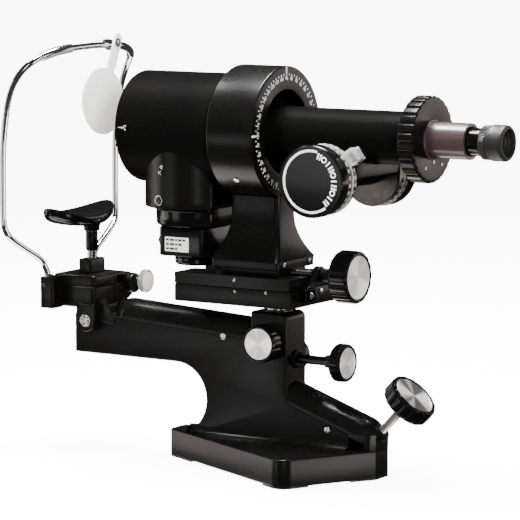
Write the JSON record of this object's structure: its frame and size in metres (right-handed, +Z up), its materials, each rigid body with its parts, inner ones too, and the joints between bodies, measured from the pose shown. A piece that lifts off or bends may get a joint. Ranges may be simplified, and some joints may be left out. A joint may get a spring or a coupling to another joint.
{
  "type": "keratometer",
  "caption": "Bench keratometer on a cast stand, with chin and forehead rest, swinging occluder, swivel and focus slide, rotating telescope, and a measuring drum on each side.",
  "frame": {"origin": "on the table surface, under the axis of the lifting post", "axes": "+X along the optical axis towards the examiner's eyepiece, -Y towards the elevation knob's side, +Z up"},
  "size_m": [0.5253, 0.2056, 0.4284],
  "materials": {
    "black_enamel": "semi-gloss black enamel over an aluminium casting",
    "fine_black_texture": "fine-textured satin black paint",
    "black_gloss_plastic": "glossy black moulding",
    "black_rubber": "soft black rubber",
    "brown_black_anodised": "brown-black anodised",
    "chrome": "bright chrome plate",
    "spun_aluminium": "circular brushed",
    "satin_scale": "satin silver with black graduations",
    "bright_steel": "ground",
    "brass": "turned",
    "bronze": "bored bush",
    "pale_plastic": "pale grey-white, satin",
    "opal_glass": "opal",
    "clear_glass": "clear, polished"
  },
  "bodies": {
    "base": {"base_casting": "black_enamel", "column_bush": "bronze", "headrest_bracket": "black_enamel", "ear_screw_near": "bright_steel", "ear_screw_far": "bright_steel", "chin_guide": "black_enamel", "headrest_loop": "chrome", "forehead_sleeve": "black_rubber", "occluder_clamp": "chrome"},
    "chin_lift": {"chin_post": "bright_steel", "chin_sleeve": "black_gloss_plastic", "chin_cup": "black_gloss_plastic"},
    "chin_drive": {"chin_shaft": "bright_steel", "chin_knob": "black_gloss_plastic", "chin_disc": "pale_plastic"},
    "occluder": {"occluder_paddle": "pale_plastic"},
    "clamp_shoe": {"clamp_shoe": "brass"},
    "clamp_screw": {"clamp_stud": "brass", "clamp_knob": "black_gloss_plastic", "clamp_disc": "spun_aluminium"},
    "post": {"elevating_post": "bright_steel"},
    "elevation": {"elevation_pinion": "bright_steel", "elevation_knob": "black_gloss_plastic", "elevation_disc": "spun_aluminium"},
    "lock_pad": {"lock_pad": "brass"},
    "lock_screw": {"lock_screw": "bright_steel", "lock_knob": "black_gloss_plastic", "lock_disc": "spun_aluminium"},
    "slide_table": {"lower_plate": "black_enamel", "upper_plate": "black_enamel", "screw_bracket": "black_enamel"},
    "focus": {"lead_screw": "bright_steel", "focus_knob": "black_gloss_plastic", "focus_disc": "spun_aluminium"},
    "head": {"pedestal": "black_enamel", "barrel": "fine_black_texture", "ring_housing": "black_enamel", "mire_plate": "opal_glass", "lamp_housing": "black_enamel", "reflector": "spun_aluminium", "lamp_bulb": "opal_glass", "lamp_socket": "black_gloss_plastic", "switch_box": "black_gloss_plastic", "lamp_cap": "black_gloss_plastic"},
    "switch": {"switch_knob": "black_gloss_plastic"},
    "telescope": {"telescope_tube": "black_enamel", "cross_housing": "black_enamel", "axis_wheel": "black_enamel", "eyepiece_tube": "brown_black_anodised", "objective_lens": "clear_glass", "index_near": "clear_glass", "index_far": "clear_glass"},
    "horizontal_drum": {"horizontal_drum": "satin_scale", "horizontal_dial": "black_gloss_plastic"},
    "vertical_drum": {"vertical_drum": "satin_scale", "vertical_dial": "black_gloss_plastic"},
    "horizontal_prism": {"horizontal_prism": "clear_glass"},
    "vertical_prism": {"vertical_prism": "clear_glass"},
    "focusing_barrel": {"focusing_barrel": "black_gloss_plastic"},
    "eyecup": {"eyecup": "black_rubber"}
  },
  "joints": [
    {"name": "elevation", "type": "slide", "parent": "base", "child": "post", "axis": [0, 0, 1], "range_m": [-0.006, 0.024]},
    {"name": "elevation_knob_turn", "type": "hinge", "parent": "base", "child": "elevation", "pos_m": [0, -0.022, 0.1284], "axis": [0, -1, 0], "range_deg": [-70, 276]},
    {"name": "lock_feed", "type": "slide", "parent": "base", "child": "lock_pad", "axis": [1, 0, 0], "range_m": [0, 0.0041]},
    {"name": "lock_turn", "type": "hinge", "parent": "lock_pad", "child": "lock_screw", "pos_m": [0.03, 0, 0.111], "axis": [1, 0, 0], "range_deg": [0, 1440]},
    {"name": "clamp_feed", "type": "slide", "parent": "base", "child": "clamp_shoe", "axis": [0.682, 0, 0.7314], "range_m": [-0.0062, 0]},
    {"name": "clamp_turn", "type": "hinge", "parent": "clamp_shoe", "child": "clamp_screw", "pos_m": [0.117, 0, 0.044], "axis": [0.682, 0, 0.7314], "range_deg": [-1728, 0]},
    {"name": "swivel", "type": "hinge", "parent": "post", "child": "slide_table", "pos_m": [0, 0, 0.1663], "axis": [0, 0, 1], "range_deg": [-15, 15]},
    {"name": "focus", "type": "slide", "parent": "slide_table", "child": "head", "axis": [1, 0, 0], "range_m": [-0.035, 0.01]},
    {"name": "focus_knob_turn", "type": "hinge", "parent": "slide_table", "child": "focus", "pos_m": [0.071, 0, 0.197], "axis": [1, 0, 0], "range_deg": [-1270, 365]},
    {"name": "axis_turn", "type": "hinge", "parent": "head", "child": "telescope", "pos_m": [0, 0, 0.3363], "axis": [1, 0, 0], "range_deg": [-90, 90]},
    {"name": "horizontal_drum_turn", "type": "hinge", "parent": "telescope", "child": "horizontal_drum", "pos_m": [0.081, -0.05, 0.297], "axis": [0, -1, 0], "range_deg": [-150, 150]},
    {"name": "vertical_drum_turn", "type": "hinge", "parent": "telescope", "child": "vertical_drum", "pos_m": [0.081, 0.05, 0.297], "axis": [0, 1, 0], "range_deg": [-150, 150]},
    {"name": "horizontal_prism_feed", "type": "slide", "parent": "telescope", "child": "horizontal_prism", "axis": [1, 0, 0], "range_m": [-0.0081, 0.0081]},
    {"name": "vertical_prism_feed", "type": "slide", "parent": "telescope", "child": "vertical_prism", "axis": [1, 0, 0], "range_m": [-0.0081, 0.0081]},
    {"name": "diopter_feed", "type": "slide", "parent": "telescope", "child": "focusing_barrel", "axis": [1, 0, 0], "range_m": [-0.0031, 0.0031]},
    {"name": "diopter_turn", "type": "hinge", "parent": "focusing_barrel", "child": "eyecup", "pos_m": [0.24, 0, 0.3363], "axis": [1, 0, 0], "range_deg": [-180, 180]},
    {"name": "chin_lift", "type": "slide", "parent": "base", "child": "chin_lift", "axis": [0, 0, 1], "range_m": [-0.007, 0.025]},
    {"name": "chin_knob_turn", "type": "hinge", "parent": "base", "child": "chin_drive", "pos_m": [-0.19, 0.04, 0.17], "axis": [1, 0, 0], "range_deg": [-70, 242]},
    {"name": "occluder_swing", "type": "hinge", "parent": "base", "child": "occluder", "pos_m": [-0.216, 0.032, 0.4176], "axis": [1, 0, 0], "range_deg": [-60, 104.8]},
    {"name": "switch_turn", "type": "hinge", "parent": "head", "child": "switch", "pos_m": [-0.1255, -0.014, 0.2225], "axis": [-1, 0, 0], "range_deg": [0, 90]}
  ],
  "couplings": [
    {"joint": "elevation_knob_turn", "follows": "elevation", "rad_per_m": 200},
    {"joint": "lock_feed", "follows": "lock_turn", "m_per_rad": 0.00015915},
    {"joint": "clamp_feed", "follows": "clamp_turn", "m_per_rad": 0.00019894},
    {"joint": "focus_knob_turn", "follows": "focus", "rad_per_m": 628.3},
    {"joint": "horizontal_prism_feed", "follows": "horizontal_drum_turn", "m_per_rad": 0.003056},
    {"joint": "vertical_prism_feed", "follows": "vertical_drum_turn", "m_per_rad": 0.003056},
    {"joint": "diopter_feed", "follows": "diopter_turn", "m_per_rad": 0.000955},
    {"joint": "chin_knob_turn", "follows": "chin_lift", "rad_per_m": 167}
  ]
}
